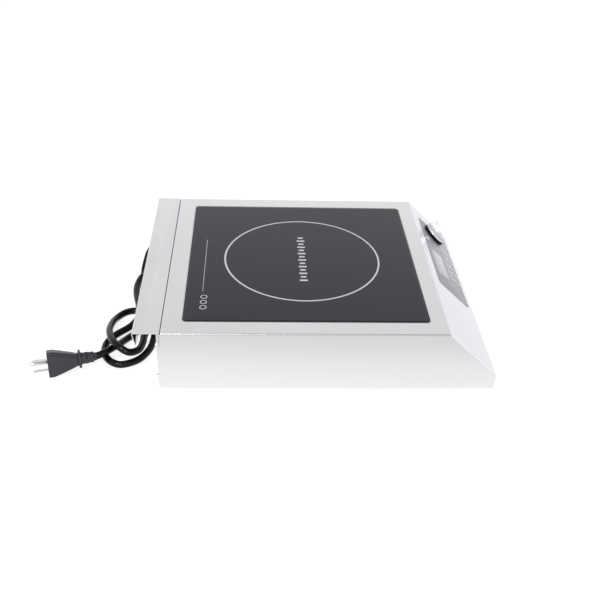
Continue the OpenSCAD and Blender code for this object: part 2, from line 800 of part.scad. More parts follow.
module plug_ground_pin() {
    color([0.80, 0.78, 0.70]) in_plug() translate([0, -7.9, relief_l + grip_l - 10]) {
        cylinder(r = 2.4, h = 29);
        translate([0, 0, 29 - tiny]) cylinder(r1 = 2.4, r2 = 1.2, h = 2.4);
    }
}

top_housing();
rear_panel();
rear_cap();
base_plate();
glass_top();
glass_seal();
glass_frame();
mica_sheet();
induction_coil();
coil_carrier();
ferrite_bars();
coil_bracket();
carrier_studs();
thermistor_holder();
thermistor();
power_board();
board_standoffs();
heat_sink();
power_transistors();
bridge_rectifier();
resonance_capacitors();
smoothing_capacitor();
filter_choke();
aux_transformer();
mains_fuse();
buzzer();
fan_frame();
fan_rotor();
fan_screws();
air_duct();
control_overlay();
display_window();
display_module();
indicator_leds();
control_board();
control_bracket();
encoder_body();
encoder_nut();
encoder_plunger();
encoder_shaft();
knob_skirt();
knob_cap();
ribbon_cable();
foot_front_left();
foot_front_right();
foot_rear_left();
foot_rear_right();
foot_screws();
base_screws();
rear_screws();
earth_stud();
mains_leads();
cord_gland();
power_cord();
plug_body();
plug_relief();
plug_blades();
plug_ground_pin();
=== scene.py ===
import json
import math

import bmesh
import bpy
from mathutils import Matrix, Vector


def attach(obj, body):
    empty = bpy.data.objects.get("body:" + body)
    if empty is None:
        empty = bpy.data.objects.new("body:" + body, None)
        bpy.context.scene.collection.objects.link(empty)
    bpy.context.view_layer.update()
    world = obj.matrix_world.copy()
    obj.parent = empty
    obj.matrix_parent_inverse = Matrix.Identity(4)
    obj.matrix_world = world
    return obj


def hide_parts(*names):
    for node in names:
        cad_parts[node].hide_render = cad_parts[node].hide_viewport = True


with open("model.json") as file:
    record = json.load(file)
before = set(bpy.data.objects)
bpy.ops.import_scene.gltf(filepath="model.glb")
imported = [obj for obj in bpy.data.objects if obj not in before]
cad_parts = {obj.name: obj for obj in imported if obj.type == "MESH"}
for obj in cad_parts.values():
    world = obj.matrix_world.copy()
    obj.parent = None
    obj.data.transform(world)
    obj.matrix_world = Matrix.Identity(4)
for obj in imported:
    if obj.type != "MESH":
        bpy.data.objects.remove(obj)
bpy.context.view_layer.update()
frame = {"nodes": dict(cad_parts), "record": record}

MM = 0.001
NODES = frame["nodes"]

# Levels and outlines of the case, in mm, as in the part
FRONT, SEAM, REAR = -208.5, 177.0, 208.5
BASE_Z, LIP_Z, TOP_Z = 20.0, 40.0, 97.0
SLOPE_RUN = 61.0
HALF_W = 163.5
SLOPE_A = math.atan2(TOP_Z - LIP_Z, SLOPE_RUN)
PAN_FACE = SEAM + 4.5
GLASS_Y, GLASS_W, GLASS_D, GLASS_R, GLASS_Z = 12.7, 281.0, 283.5, 5.0, 97.5
RING_R = 97.2
OVERLAY_W, OVERLAY_L, OVERLAY_MID, OVERLAY_S = 172.0, 59.0, 51.0, 38.0
WINDOW_X, WINDOW_S, WINDOW_W, WINDOW_L = 29.0, 49.5, 57.0, 21.0
KNOB_X, KNOB_S, KNOB_R, KNOB_H = 117.0, 40.0, 17.5, 19.0
LED_XS, LED_S = (18, 36, 54, 72, 90), 22.0
GLAND_X, GLAND_Z = 140.0, 34.0
CORD_D = 9.0
FOOT_X, FOOT_YS, FOOT_R = 115.5, (FRONT + 55, FRONT + 340), 14.0
SHEET = 1.0
# Prongs of the plug, in its own frame: the blades' distance from the middle, their line and the earth pin's
BLADE_X, BLADE_Y, PIN_Y = 6.35, 4.0, -7.9


# ---------------------------------------------------------------- camera

def make_camera(place, heading, dip, roll, lens):
    """A camera at a place, looking along a heading from +X and down by dip, turned by roll, in degrees."""
    h, d, r = (math.radians(a) for a in (heading, dip, roll))
    ahead = Vector((math.cos(d) * math.cos(h), math.cos(d) * math.sin(h), -math.sin(d)))
    side = ahead.cross(Vector((0, 0, 1))).normalized()
    above = side.cross(ahead)
    right = math.cos(r) * side + math.sin(r) * above
    up = right.cross(ahead)
    data = bpy.data.cameras.new("Camera")
    data.lens, data.sensor_width = lens, 36
    data.clip_start, data.clip_end = 0.01, 50
    cam = bpy.data.objects.new("Camera", data)
    bpy.context.scene.collection.objects.link(cam)
    turn = Matrix((right, up, -ahead)).transposed().to_4x4()
    cam.matrix_world = Matrix.Translation(place) @ turn
    bpy.context.scene.camera = cam


make_camera((-0.9313, 0.0756, 0.6534), -3.850, 33.567, 2.518, 51.287)


# ---------------------------------------------------------------- materials

class Shader:
    """A Principled material with helpers for the nodes that vary its sockets."""

    def __init__(self, name):
        self.mat = bpy.data.materials.new(name)
        self.mat.use_nodes = True
        self.tree = self.mat.node_tree
        self.bsdf = self.tree.nodes["Principled BSDF"]
        self.coords = self.tree.nodes.new("ShaderNodeTexCoord").outputs["Object"]

    def fixed(self, **values):
        for key, value in values.items():
            self.bsdf.inputs[key.replace("_", " ")].default_value = value
        return self

    def link(self, source, target):
        self.tree.links.new(source, target)

    def mapped(self, scale, turn=(0, 0, 0)):
        node = self.tree.nodes.new("ShaderNodeMapping")
        node.inputs["Scale"].default_value = scale
        node.inputs["Rotation"].default_value = turn
        self.link(self.coords, node.inputs["Vector"])
        return node.outputs["Vector"]

    def noise(self, scale, detail, rough):
        node = self.tree.nodes.new("ShaderNodeTexNoise")
        node.inputs["Scale"].default_value = 1.0
        node.inputs["Detail"].default_value = detail
        node.inputs["Roughness"].default_value = rough
        self.link(self.mapped(scale), node.inputs["Vector"])
        return node.outputs["Fac"]

    def spread(self, fac, low, high, start=0.3, end=0.7):
        node = self.tree.nodes.new("ShaderNodeMapRange")
        for key, value in (("From Min", start), ("From Max", end), ("To Min", low), ("To Max", high)):
            node.inputs[key].default_value = value
        self.link(fac, node.inputs["Value"])
        return node.outputs["Result"]

    def maths(self, op, a, b):
        node = self.tree.nodes.new("ShaderNodeMath")
        node.operation = op
        for i, value in enumerate((a, b)):
            if isinstance(value, (int, float)):
                node.inputs[i].default_value = value
            else:
                self.link(value, node.inputs[i])
        return node.outputs[0]

    def mix(self, fac, a, b):
        node = self.tree.nodes.new("ShaderNodeMix")
        node.data_type = "RGBA"
        self.link(fac, node.inputs["Factor"])
        for key, value in (("A", a), ("B", b)):
            socket = [s for s in node.inputs if s.name == key and s.type == "RGBA"][0]
            if isinstance(value, (tuple, list)):
                socket.default_value = (*value, 1.0)
            else:
                self.link(value, socket)
        return [s for s in node.outputs if s.type == "RGBA"][0]

    def colour(self, source):
        self.link(source, self.bsdf.inputs["Base Color"])
        return self

    def rough(self, source):
        self.link(source, self.bsdf.inputs["Roughness"])
        return self

    def bump(self, height, depth, strength=1.0):
        node = self.tree.nodes.new("ShaderNodeBump")
        node.inputs["Distance"].default_value = depth
        node.inputs["Strength"].default_value = strength
        self.link(height, node.inputs["Height"])
        self.link(node.outputs["Normal"], self.bsdf.inputs["Normal"])
        return self


def set_stops(ramp, stops):
    """Gives a colour ramp its stops, each a place and a colour, from left to right."""
    elements = ramp.color_ramp.elements
    for element, (at, colour) in ((elements[0], stops[0]), (elements[-1], stops[-1])):
        element.position, element.color = at, (*colour, 1)
    for at, colour in stops[1:-1]:
        elements.new(at).color = (*colour, 1)


def toned(colour, factor):
    return tuple(min(1.0, c * factor) for c in colour)


def surface(name, colour, rough, grain, tone=0.08, spread=0.08, depth=0.00004, strength=0.5, **fixed):
    """Fine grain over soft clouds: both vary the colour and the roughness, and the grain is the bump."""
    s = Shader(name).fixed(**fixed)
    fine = s.noise(grain, 4, 0.6)
    broad = s.noise((14, 14, 14), 3, 0.5)
    both = s.maths("ADD", s.maths("MULTIPLY", fine, 0.6), s.maths("MULTIPLY", broad, 0.4))
    s.colour(s.mix(s.spread(both, 0, 1, 0.35, 0.65), toned(colour, 1 - tone), toned(colour, 1 + tone)))
    s.rough(s.spread(both, rough - spread, rough + spread, 0.35, 0.65))
    s.bump(fine, depth, strength)
    return s.mat


def brushed(name, colour, rough, stretch):
    """Metal brushed along one axis: long fine lines, with faint smears across them."""
    s = Shader(name).fixed(Metallic=1.0, Anisotropic=0.4)
    lines = s.noise(stretch, 5, 0.7)
    smears = s.noise((9, 7, 9), 4, 0.6)
    s.colour(s.mix(s.spread(lines, 0, 1), toned(colour, 0.97), toned(colour, 1.03)))
    s.rough(s.maths("ADD", s.spread(lines, -0.05, 0.05), s.spread(smears, rough - 0.04, rough + 0.05)))
    s.bump(lines, 0.000012, 0.6)
    return s.mat


def steel_with_painted_reflections(name, colour, rough, stretch):
    """The case's brushed steel: fine lines and faint smears, with painted reflections: sides paler towards
    the bench and a dark line in the fold under the top.
    """
    s = Shader(name).fixed(Metallic=1.0, Anisotropic=0.3)
    lines = s.noise(stretch, 4, 0.6)
    smears = s.noise((9, 6, 9), 4, 0.6)
    split = s.tree.nodes.new("ShaderNodeSeparateXYZ")
    s.link(s.coords, split.inputs[0])
    # Painted reflection in the base colour by height: paler low on the sides for the bright floor, and
    # darkest just under the top, where the folds are, for a dark band they mirror
    ramp = s.tree.nodes.new("ShaderNodeValToRGB")
    s.link(s.spread(split.outputs["Z"], 0.0, 1.0, BASE_Z * MM, TOP_Z * MM), ramp.inputs["Fac"])
    set_stops(ramp, [(at, toned(colour, level)) for at, level in (
        (0.0, 0.975), (0.45, 0.895), (0.80, 0.785), (0.965, 0.75), (0.990, 0.57), (0.9985, 1.0))])
    # Painted reflection: faces turned to the front, as the control face is, get a cool tone between the
    # sides' and the top's
    facing = s.tree.nodes.new("ShaderNodeSeparateXYZ")
    s.link(s.tree.nodes.new("ShaderNodeNewGeometry").outputs["Normal"], facing.inputs[0])
    painted_front_tint = s.spread(facing.outputs["Y"], 1.0, 0.0, -0.68, -0.45)
    base = s.mix(painted_front_tint, ramp.outputs["Color"], (0.718, 0.708, 0.748))
    s.colour(s.mix(s.spread(lines, 0.0, 0.05), base, toned(colour, 0.62)))
    s.rough(s.maths("ADD", s.spread(lines, -0.025, 0.025), s.spread(smears, rough - 0.03, rough + 0.04)))
    s.bump(lines, 0.000005, 0.4)
    return s.mat


def glass_finish():
    """Black glass ceramic with a violet cast, polished, with the faint smears of a wiped cooktop."""
    s = Shader("black_glass").fixed(IOR=1.42)
    smears = s.noise((16, 5, 16), 5, 0.65)
    speck = s.noise((900, 900, 900), 2, 0.5)
    s.colour(s.mix(s.spread(speck, 0, 1), (0.0040, 0.0028, 0.0085), (0.0065, 0.0048, 0.0125)))
    s.rough(s.spread(smears, 0.03, 0.08))
    s.bump(speck, 0.000002, 0.3)
    return s.mat


def overlay_finish():
    """Grey film over the controls: a fine pearl in the print, glossy on top."""
    s = Shader("overlay_film").fixed(IOR=1.18)
    pearl = s.noise((2600, 2600, 2600), 2, 0.5)
    cloud = s.noise((60, 90, 60), 4, 0.6)
    base = s.mix(s.spread(cloud, 0, 1), (0.245, 0.232, 0.270), (0.30, 0.285, 0.326))
    s.colour(s.mix(s.spread(pearl, 0, 0.35), base, (0.385, 0.37, 0.412)))
    s.rough(s.spread(cloud, 0.05, 0.10))
    s.bump(pearl, 0.000004, 0.3)
    return s.mat


def wound_copper():
    """Enamelled litz wire: fine strands that twist round each turn."""
    s = Shader("copper_wire").fixed(Metallic=0.85)
    node = s.tree.nodes.new("ShaderNodeTexWave")
    node.inputs["Scale"].default_value = 260
    node.inputs["Distortion"].default_value = 1.5
    s.link(s.mapped((1, 1, 2.5), (0.3, 0.2, 0.6)), node.inputs["Vector"])
    s.colour(s.mix(node.outputs["Fac"], (0.42, 0.17, 0.06), (0.80, 0.42, 0.18)))
    s.rough(s.spread(node.outputs["Fac"], 0.42, 0.28, 0, 1))
    s.bump(node.outputs["Fac"], 0.0002, 0.6)
    return s.mat


def board_finish():
    """Solder mask over copper tracks."""
    s = Shader("circuit_board").fixed(Coat_Weight=0.3, Coat_Roughness=0.15)
    node = s.tree.nodes.new("ShaderNodeTexVoronoi")
    node.distance = "MANHATTAN"
    node.inputs["Scale"].default_value = 1.0
    s.link(s.mapped((130, 130, 130)), node.inputs["Vector"])
    tracks = s.spread(node.outputs["Distance"], 0, 1, 0.28, 0.34)
    s.colour(s.mix(tracks, (0.010, 0.075, 0.030), (0.018, 0.125, 0.052)))
    s.rough(s.spread(node.outputs["Distance"], 0.28, 0.38, 0, 1))
    s.bump(tracks, 0.00005, 0.5)
    return s.mat


MATERIALS = {
    "case_steel": steel_with_painted_reflections("case_steel", (0.775, 0.775, 0.785), 0.30, (6, 1500, 1500)),
    "inner_steel": brushed("inner_steel", (0.60, 0.60, 0.62), 0.38, (700, 8, 700)),
    "black_glass": glass_finish(),
    "seal_silicone": surface("seal_silicone", (0.50, 0.50, 0.51), 0.5, (700, 700, 700)),
    "mica": surface("mica", (0.58, 0.50, 0.35), 0.55, (160, 160, 900), 0.22, Sheen_Weight=0.2),
    "copper_wire": wound_copper(),
    "black_plastic": surface("black_plastic", (0.022, 0.022, 0.025), 0.48, (900, 900, 900), 0.12),
    "ferrite": surface("ferrite", (0.055, 0.055, 0.062), 0.62, (600, 600, 600), 0.2, depth=0.00008),
    "white_plastic": surface("white_plastic", (0.70, 0.70, 0.66), 0.42, (700, 700, 700), 0.04),
    "circuit_board": board_finish(),
    "bare_aluminium": brushed("bare_aluminium", (0.78, 0.79, 0.80), 0.36, (500, 6, 500)),
    "chip_epoxy": surface("chip_epoxy", (0.016, 0.016, 0.018), 0.58, (1200, 1200, 1200), 0.15),
    "film_capacitor": surface("film_capacitor", (0.68, 0.42, 0.04), 0.30, (300, 300, 300), 0.06),
    "red_capacitor": surface("red_capacitor", (0.42, 0.035, 0.02), 0.32, (300, 300, 300), 0.06),
    "overlay_film": overlay_finish(),
    "window_film": surface("window_film", (0.42, 0.41, 0.455), 0.05, (900, 900, 900), 0.03, 0.02,
                           0.000002),
    "display_plastic": surface("display_plastic", (0.02, 0.008, 0.008), 0.22, (500, 500, 500)),
    "led_lens": surface("led_lens", (0.55, 0.06, 0.03), 0.2, (500, 500, 500), Transmission_Weight=0.4),
    "plated_metal": brushed("plated_metal", (0.72, 0.72, 0.74), 0.26, (900, 60, 900)),
    "knob_chrome": surface("knob_chrome", (0.97, 0.97, 0.985), 0.24, (260, 1400, 1400), 0.02, 0.02, 0.000003,
                           Metallic=0.5),
    "knob_black": surface("knob_black", (0.003, 0.003, 0.0035), 0.30, (900, 900, 900), 0.15, IOR=1.3),
    "foot_rubber": surface("foot_rubber", (0.020, 0.020, 0.021), 0.72, (900, 900, 900), 0.2, depth=0.00008),
    "cord_rubber": surface("cord_rubber", (0.0026, 0.0026, 0.0034), 0.17, (620, 620, 620), 0.16, 0.035,
                           0.00001, IOR=1.29),
    "plug_rubber": surface("plug_rubber", (0.029, 0.0275, 0.034), 0.46, (1100, 1100, 1100), 0.10, 0.06,
                           0.00005, 0.7, IOR=1.4),
    "prong_metal": brushed("prong_metal", (0.60, 0.60, 0.61), 0.20, (60, 60, 60)),
    "brass_metal": brushed("brass_metal", (0.72, 0.55, 0.22), 0.30, (500, 500, 60)),
}
# Inks on the glass and on the overlay, and the glass's bevel
PRINT = surface("print_ink", (0.52, 0.51, 0.56), 0.42, (1500, 1500, 1500), 0.05, 0.05, 0.000003)
GLASS_RIM = surface("glass_rim", (0.12, 0.118, 0.132), 0.16, (800, 800, 800), 0.08, 0.04, 0.000004,
                    IOR=1.5)
PANEL_INK = surface("panel_ink", (0.80, 0.78, 0.84), 0.3, (1500, 1500, 1500), 0.04, 0.05, 0.000003)
PANEL_DARK = surface("panel_dark", (0.16, 0.155, 0.18), 0.3, (1500, 1500, 1500), 0.06, 0.05, 0.000003)


# ---------------------------------------------------------------- mesh helpers

def smooth(obj, angle=32):
    """Smooth shading with sharp edges kept above an angle."""
    mesh = obj.data
    mesh.polygons.foreach_set("use_smooth", [True] * len(mesh.polygons))
    mesh.set_sharp_from_angle(angle=math.radians(angle))


def place(obj, slot, body="housing", replaced=(), materials=None, weighted=False, angle=32):
    """Gives a new piece its finish, its body and the CAD nodes that it stands for."""
    obj.data.materials.clear()
    for m in materials or [MATERIALS[slot]]:
        obj.data.materials.append(m)
    smooth(obj, angle)
    if weighted:
        mod = obj.modifiers.new("Weighted", "WEIGHTED_NORMAL")
        mod.keep_sharp = True
        mod.weight = 60
    if replaced:
        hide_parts(*replaced)
    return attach(obj, body)


def from_bmesh(name, bm, matrix=None):
    bmesh.ops.recalc_face_normals(bm, faces=bm.faces)
    mesh = bpy.data.meshes.new(name)
    bm.to_mesh(mesh)
    bm.free()
    if matrix is not None:
        mesh.transform(matrix)
    mesh.transform(Matrix.Scale(MM, 4))
    mesh.update()
    obj = bpy.data.objects.new(name, mesh)
    bpy.context.scene.collection.objects.link(obj)
    return obj


def loft(name, rings, matrix=None, closed=False, bands=None):
    """Skin over rings of points; both ends get a cap, or the last ring joins the first."""
    bm = bmesh.new()
    rows = [[bm.verts.new(p) for p in ring] for ring in rings]
    n = len(rows[0])
    pairs = list(zip(rows, rows[1:])) + ([(rows[-1], rows[0])] if closed else [])
    for k, (a, b) in enumerate(pairs):
        for i in range(n):
            j = (i + 1) % n
            face = bm.faces.new((a[i], a[j], b[j], b[i]))
            if bands and k in bands:
                face.material_index = bands[k]
    if not closed:
        bm.faces.new(rows[0][::-1])
        bm.faces.new(rows[-1])
    return from_bmesh(name, bm, matrix)


def circle(r, z, n=96):
    return [(r * math.cos(math.tau * i / n), r * math.sin(math.tau * i / n), z) for i in range(n)]


def lathe(name, profile, matrix=None, n=96, closed=False):
    """Turned piece from (radius, height) points; a closed profile makes a ring with a bore."""
    return loft(name, [circle(r, z, n) for r, z in profile], matrix, closed)


def rounded(w, l, r, z, n=8):
    """Rounded rectangle in a level plane, anticlockwise."""
    points = []
    for cx, cy, start in ((1, 1, 0), (-1, 1, 90), (-1, -1, 180), (1, -1, 270)):
        for k in range(n + 1):
            a = math.radians(start + 90 * k / n)
            points.append((cx * (w / 2 - r) + r * math.cos(a), cy * (l / 2 - r) + r * math.sin(a), z))
    return points


def arc_rings(w, l, r, z0, z1, edge):
    """Rings of a plate with a rounded top edge."""
    rings = [rounded(w, l, r, z0)]
    steps = 4
    for k in range(steps + 1):
        a = math.pi / 2 * k / steps
        inset = edge * (1 - math.cos(a))
        rings.append(rounded(w - 2 * inset, l - 2 * inset, r - inset, z1 - edge + edge * math.sin(a)))
    return rings


def prism(name, outline, half):
    """Closed solid with an outline in Y and Z, from -half to half along X."""
    return loft(name, [[(x, y, z) for y, z in outline] for x in (-half, half)])


def block(name, x0, x1, y0, y1, z0, z1):
    outline = [(y0, z0), (y1, z0), (y1, z1), (y0, z1)]
    return loft(name, [[(x, y, z) for y, z in outline] for x in (x0, x1)])


def on_slope(x, s, off=0.0):
    """Frame on the control face: x to the right, s up the slope, off out of it."""
    y = FRONT + s * math.cos(SLOPE_A)
    z = LIP_Z + s * math.sin(SLOPE_A)
    return Matrix.Translation((x, y, z)) @ Matrix.Rotation(SLOPE_A, 4, "X") @ Matrix.Translation((0, 0, off))


def move(obj, matrix):
    """Moves a mesh by a matrix given in mm."""
    obj.data.transform(Matrix.Scale(MM, 4) @ matrix @ Matrix.Scale(1 / MM, 4))


def bake_modifiers(obj):
    bpy.context.view_layer.update()
    graph = bpy.context.evaluated_depsgraph_get()
    mesh = bpy.data.meshes.new_from_object(obj.evaluated_get(graph))
    obj.modifiers.clear()
    obj.data = mesh


def combine(obj, operation, *others):
    """Adds solids to a piece or takes them away from it, and deletes them."""
    for other in others:
        mod = obj.modifiers.new("Combine", "BOOLEAN")
        mod.operation, mod.solver, mod.object = operation, "EXACT", other
        bake_modifiers(obj)
        bpy.data.meshes.remove(other.data)


def cut(obj, *cutters):
    combine(obj, "DIFFERENCE", *cutters)


def fold_edges(obj, weigh, segments):
    """Rounds the edges of a folded sheet; weigh gives each edge's radius in mm."""
    widest = 3.0
    mesh = obj.data
    weights = mesh.attributes.new("bevel_weight_edge", "FLOAT", "EDGE")
    for e in mesh.edges:
        a, b = (mesh.vertices[i].co / MM for i in e.vertices)
        weights.data[e.index].value = weigh(a, b) / widest
    mod = obj.modifiers.new("Fold", "BEVEL")
    mod.limit_method, mod.width, mod.segments = "WEIGHT", widest * MM, segments
    bake_modifiers(obj)


# ---------------------------------------------------------------- mains lead

# The route of part.scad, in mm: out of the gland, round the loops behind the case, and to the plug
ROUTE = [
    (140, 200.5, 34), (139, 211, 33.5), (131, 221, 30.5), (113, 226, 20), (98, 228, 10),
    (82, 228.5, 4.7), (58, 221, 4.5), (34, 209, 4.5), (8, 201.5, 4.5), (-20, 200, 4.5), (-54, 200.5, 4.5),
    (-74, 205, 4.5), (-91, 215.5, 4.5), (-100, 233, 4.5), (-95.5, 246, 4.5), (-83, 255.5, 4.5),
    (-70, 258.5, 4.5), (-54, 257, 4.5), (-38, 248, 4.5), (-20, 231.5, 5.5), (-5, 223.5, 10),
    (14, 225, 14.5), (38, 230.5, 14.5), (60, 232.5, 14.8), (80, 229, 16), (95, 220.5, 16.5),
    (111, 213.5, 11), (127, 220, 6), (142, 221, 4.5), (154.5, 210, 4.5), (153.5, 195, 4.5),
    (138, 186.8, 4.5), (100, 187.2, 4.5), (50, 188, 4.5), (14, 189.5, 5.5), (-8, 193, 10.8),
    (-29, 201, 14.3), (-50, 210, 14.2), (-68, 211, 14), (-84, 214.5, 15), (-93, 225, 18),
    (-87, 237.5, 22), (-72, 247.5, 21.5), (-48, 254.5, 17), (-24, 255.5, 11), (-4, 252.5, 6),
    (11.5, 242.5, 4.6), (15.5, 229, 4.5), (5, 215, 4.5), (-14, 213.5, 4.5), (-33, 223, 4.5),
    (-50, 234.5, 5.5), (-66, 241, 9.5), (-79, 247.5, 13.2), (-87.5, 253.8, 14.3), (-91.4, 259.6, 13.2),
    (-93.4, 265, 12)]
PLUG_AT, PLUG_TURN, PLUG_ROLL = (-93.6, 265.8, 11.9), 105.0, 22.0
RELIEF_L, GRIP_L = 17.0, 39.0


def smooth_route(points, steps):
    """Catmull-Rom curve through the points, never lower than the lead lies on the bench."""
    p = [Vector(q) for q in points]
    out = []
    for i in range(len(p) - 1):
        a, b, c, d = p[max(i - 1, 0)], p[i], p[i + 1], p[min(i + 2, len(p) - 1)]
        for k in range(steps):
            t = k / steps
            q = 0.5 * (2 * b + (c - a) * t + (2 * a - 5 * b + 4 * c - d) * t ** 2
                       + (3 * b - a - 3 * c + d) * t ** 3)
            q.z = max(q.z, CORD_D / 2)
            out.append(q)
    return out + [p[-1]]


def make_cord():
    """The lead as one open curve, with its jacket's round section."""
    line = smooth_route(ROUTE, 10)
    data = bpy.data.curves.new("power_lead", "CURVE")
    data.dimensions = "3D"
    data.bevel_depth = CORD_D / 2 * MM
    data.bevel_resolution = 6
    data.use_fill_caps = True
    spline = data.splines.new("POLY")
    spline.points.add(len(line) - 1)
    for point, q in zip(spline.points, line):
        point.co = (*(q * MM), 1)
    spline.use_smooth = True
    data.materials.append(MATERIALS["cord_rubber"])
    obj = bpy.data.objects.new("power_lead", data)
    bpy.context.scene.collection.objects.link(obj)
    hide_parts("power_cord")
    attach(obj, "housing")
    return obj, sum((b - a).length for a, b in zip(line, line[1:])) * MM


def plug_frame():
    """The plug's own frame: +Z from the lead to the prongs, +X across, -Y to the earth pin."""
    return (Matrix.Translation(PLUG_AT) @ Matrix.Rotation(math.radians(PLUG_TURN), 4, "Z")
            @ Matrix.Rotation(math.radians(90), 4, "Y") @ Matrix.Rotation(math.radians(PLUG_ROLL), 4, "Z"))


def plug_outline(w, d, r, z):
    """Wide face at +Y with a groove along its upper edge; the back is narrow where it lies on the bench."""
    points = []
    n = 6
    corners = ((1, 1, 0.5, -22, 112), (-1, 1, 0.5, 90, 94), (-1, -1, 0.46, 184, 86), (1, -1, 0.29, 270, 68))
    for cx, cy, share, start, sweep in corners:
        for k in range(n + 1):
            a = math.radians(start + sweep * k / n)
            points.append((cx * (w * share - r) + r * math.cos(a), cy * (d / 2 - r) + r * math.sin(a), z))
        if (cx, cy) == (1, 1):
            groove = r - w / 2 + 1.6
            notch = ((0, 0), (-0.2, 0.5), (-0.8, 0.5), (-1.0, 0))
            points += [(groove + dx, d / 2 - dy, z) for dx, dy in notch]
    return points


def make_plug():
    at = plug_frame()
    z0, z1 = RELIEF_L + 3, RELIEF_L + GRIP_L
    sections = [(13.6, 13.8, 2.6, z0), (14.8, 14.8, 2.6, z0 + 0.7), (15.2, 15.2, 2.6, z0 + 2.5),
                (19, 17, 2.8, z0 + 8), (22.4, 19, 2.8, z0 + 14), (26, 21, 2.8, z0 + 20),
                (30.4, 22.8, 2.6, z0 + 28.8), (31, 23, 2.5, z0 + 30), (31, 23, 2.5, z1 - 1.0),
                (30.6, 22.6, 2.4, z1 - 0.4), (29.6, 21.6, 2.0, z1)]
    body = loft("plug_grip", [plug_outline(*s) for s in sections], at)
    slots = [block("slot", x - 1.0, x + 1.0, BLADE_Y - 3.5, BLADE_Y + 3.5, z1 - 2.0, z1 + 2)
             for x in (-BLADE_X, BLADE_X)]
    slots.append(lathe("slot", [(2.75, z1 - 2.0), (2.75, z1 + 2)], Matrix.Translation((0, PIN_Y, 0)), 32))
    for slot in slots:
        move(slot, at)
    cut(body, *slots)
    place(body, "plug_rubber", replaced=["plug_body"], weighted=True, angle=28)

    # Notched strain relief, and the flange between it and the grip
    relief = loft("plug_boot", [circle(r, z, 64) for r, z in (
        (4.55, -1.6), (4.9, -1.5), (5.0, 0.6), (5.2, 1.6), (6.3, 1.9), (6.6, 2.3), (7.5, RELIEF_L - 0.6),
        (7.5, RELIEF_L + 0.3))], at)
    cuts = []
    for row, z in enumerate((6.0, 9.8, 13.6)):
        for k in (0, 1):
            turn = Matrix.Rotation(math.radians(45 + 90 * (row % 2) + 180 * k), 4, "Z")
            gap = block("gap", 4.4, 9.5, -6.0, 6.0, z - 1.1, z + 1.1)
            move(gap, at @ turn)
            cuts.append(gap)
    cut(relief, *cuts)
    place(relief, "plug_rubber", replaced=["plug_relief"], angle=28)
    f = RELIEF_L
    flange = loft("plug_flange", [rounded(w, l, r, z, 5) for w, l, r, z in (
        (18.6, 16.6, 2.6, f), (19.6, 17.6, 2.8, f + 0.25), (20, 18, 2.9, f + 0.8), (20, 18, 2.9, f + 2.0),
        (19.4, 17.4, 2.7, f + 2.7), (18.2, 16.2, 2.4, f + 3.0))], at)
    place(flange, "plug_rubber", angle=28)

    # Blades with chamfered tips and a hole; the earth pin is round-nosed
    blades = []
    for name, i in (("blade_left", -1), ("blade_right", 1)):
        base, tip = z1 - 8, z1 + 17.5
        half_w, half_t = 3.175, 0.75
        rings = [[(sx * half_t * t, sy * half_w * w, z) for sx, sy in ((1, -1), (1, 1), (-1, 1), (-1, -1))]
                 for t, w, z in ((1, 1, base), (1, 1, tip - 1.6), (0.86, 0.93, tip - 0.7), (0.45, 0.80, tip))]
        blade = loft(name, rings, Matrix.Translation((i * BLADE_X, BLADE_Y, 0)))
        across = Matrix.Translation((i * BLADE_X, BLADE_Y, z1 + 11.7)) @ Matrix.Rotation(math.pi / 2, 4, "Y")
        cut(blade, lathe("hole", [(1.6, -5), (1.6, 5)], across, 32))
        move(blade, at)
        place(blade, "prong_metal", replaced=["plug_blades"] if i < 0 else (), angle=25)
        blades.append(blade)
    pin = lathe("earth_pin", [(2.3, z1 - 10), (2.4, z1 - 9.8), (2.4, z1 + 17.6), (2.25, z1 + 18.9),
                              (1.9, z1 + 20), (1.35, z1 + 20.9), (0.6, z1 + 21.4)],
                at @ Matrix.Translation((0, PIN_Y, 0)), 48)
    place(pin, "prong_metal", replaced=["plug_ground_pin"])
    return [body, relief, flange, *blades, pin]


def make_gland():
    """Strain relief at the case: a flange, then a ribbed boot that narrows to the lead."""
    at = Matrix.Translation((GLAND_X, PAN_FACE, GLAND_Z)) @ Matrix.Rotation(-math.pi / 2, 4, "X")
    profile = [(4.3, -3.0), (8.8, -3.0), (9.0, -2.8), (9.0, -1.2), (7.4, -1.0), (7.4, 0.0), (9.2, 0.02),
               (9.5, 0.4), (9.5, 2.4), (9.1, 2.9), (8.2, 3.0)]
    for k in range(5):
        z = 3.4 + k * 3.1
        r = 8.0 - (z - 3) * 0.155
        profile += [(r - 1.1, z), (r - 1.1, z + 0.8), (r, z + 1.1), (r - 0.12, z + 2.7)]
    profile += [(5.5, 19.4), (5.1, 19.9), (4.55, 20.0), (4.52, 19.2), (4.3, 19.0)]
    boot = lathe("cord_boot", profile, at, 64, closed=True)
    place(boot, "black_plastic", replaced=["cord_gland"], angle=40)


lead, lead_length = make_cord()
plug_pieces = make_plug()
make_gland()


# ---------------------------------------------------------------- case

def case_outline(inset):
    a = SLOPE_A / 2
    return [(FRONT + inset, BASE_Z + inset), (FRONT + inset, LIP_Z - inset * math.tan(math.pi / 4 - a)),
            (FRONT + SLOPE_RUN + inset * math.tan(a), TOP_Z - inset), (SEAM - inset, TOP_Z - inset),
            (SEAM - inset, BASE_Z + inset)]


def case_fold(reach):
    """How wide each edge of the case is rounded, in mm; reach is what the sheet's inside face loses."""
    def weigh(a, b):
        at_seam = a.y > SEAM - 3 and b.y > SEAM - 3
        low = a.z < BASE_Z + 3 and b.z < BASE_Z + 3
        across = abs(a.x - b.x) > 1
        size = 0.6 if at_seam else 1.0 if low else 1.4 if across else 1.5
        return max(size - reach, 0.2)
    return weigh


